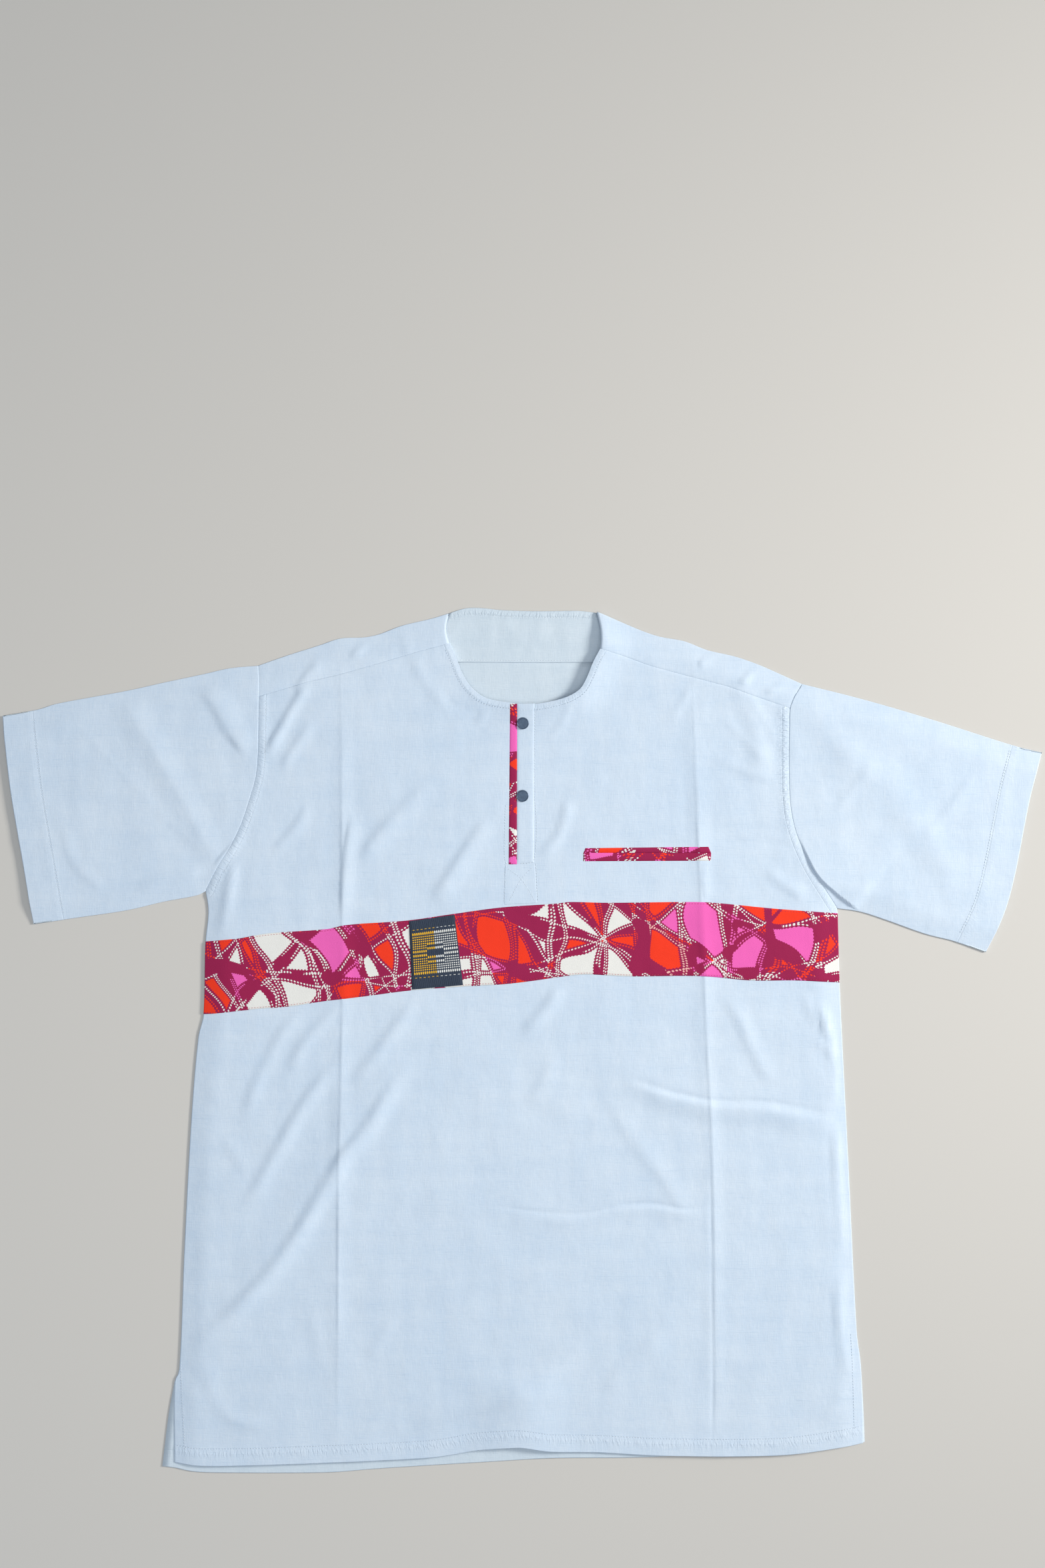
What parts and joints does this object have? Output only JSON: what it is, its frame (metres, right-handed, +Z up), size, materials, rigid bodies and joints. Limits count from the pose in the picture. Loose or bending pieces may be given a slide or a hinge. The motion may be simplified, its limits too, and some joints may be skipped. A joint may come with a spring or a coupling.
{
  "type": "short-sleeved shirt with a printed chest band, laid flat",
  "caption": "Light-blue short-sleeved pullover shirt laid flat, with a wax-print chest band, woven patch, snap placket and welt pocket.",
  "frame": {"origin": "centre of the bounding box on the surface that the shirt lies on", "axes": "+X to the viewer's right across the sleeves, +Y from the hem to the collar, +Z up from the surface, out of the shirt's front"},
  "size_m": [1.0298, 0.8574, 0.0099],
  "materials": {
    "chambray": "light-blue end-on-end chambray cotton, matt",
    "wax_print": "printed cotton with a slight wax sheen",
    "woven_strip": "hand-woven ribbed strip cloth, matt",
    "snap_metal": "dark blue-grey enamelled caps, satin"
  },
  "bodies": {
    "root": {"back_panel": "chambray", "front_panel": "chambray", "yoke": "chambray", "back_neck_facing": "chambray", "sleeve_wearers_right": "chambray", "sleeve_wearers_left": "chambray", "band_left_strip": "wax_print", "band_right_strip": "wax_print", "woven_patch": "woven_strip", "placket": "chambray", "placket_binding": "wax_print", "placket_box": "chambray", "snap_upper": "snap_metal", "snap_lower": "snap_metal", "welt_lower_lip": "wax_print", "welt_upper_lip": "wax_print"}
  },
  "joints": []
}
